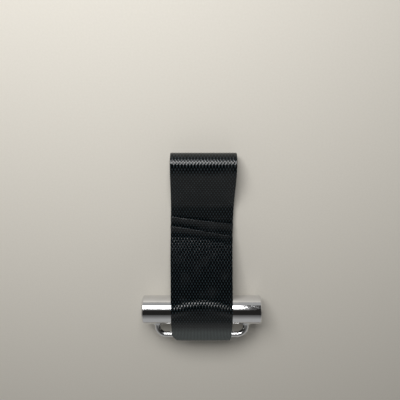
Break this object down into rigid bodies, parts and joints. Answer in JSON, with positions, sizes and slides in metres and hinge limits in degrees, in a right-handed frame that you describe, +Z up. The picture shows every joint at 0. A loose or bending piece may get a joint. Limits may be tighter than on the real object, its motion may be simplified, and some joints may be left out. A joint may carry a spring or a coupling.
{
  "type": "strap wrench",
  "caption": "Strap wrench: doubled webbing strap wound through a wire bail on a steel barrel with square drive sockets in its ends.",
  "frame": {"origin": "under the middle of the wrench's length and width, on the surface it lies on", "axes": "X along the barrel, +Y from the barrel to the top fold, +Z up, out of the front"},
  "size_m": [0.1, 0.163, 0.0327],
  "materials": {
    "webbing": "black plain-woven webbing with a slight gloss on each float",
    "plated_steel": "bright plating over turned and drawn steel",
    "weld_bead": "plated over, a little rough"
  },
  "bodies": {
    "hank": {"strap_bight": "webbing", "front_run_inner": "webbing", "front_run_outer": "webbing", "top_fold_inner": "webbing", "top_fold_outer": "webbing", "back_run_inner": "webbing", "back_run_outer": "webbing", "bottom_wrap_inner": "webbing", "bottom_wrap_outer": "webbing"},
    "drive_body": {"drive_barrel": "plated_steel", "bail": "plated_steel", "weld_left": "weld_bead", "weld_right": "weld_bead"},
    "outer_tail_end": {"outer_tail": "webbing"},
    "inner_tail_end": {"inner_tail": "webbing"}
  },
  "joints": [
    {"name": "drive_turn", "type": "hinge", "parent": "hank", "child": "drive_body", "pos_m": [0, -0.0535, 0.01635], "axis": [1, 0, 0], "range_deg": [0, 38]},
    {"name": "outer_tail_lift", "type": "hinge", "parent": "hank", "child": "outer_tail_end", "pos_m": [0, -0.04346, 0.02962], "axis": [1, 0, 0], "range_deg": [0, 80]},
    {"name": "inner_tail_lift", "type": "hinge", "parent": "hank", "child": "inner_tail_end", "pos_m": [0, -0.04346, 0.02962], "axis": [1, 0, 0], "range_deg": [0, 60]}
  ],
  "couplings": [
    {"joint": "inner_tail_lift", "follows": "outer_tail_lift", "ratio": 0.75}
  ]
}
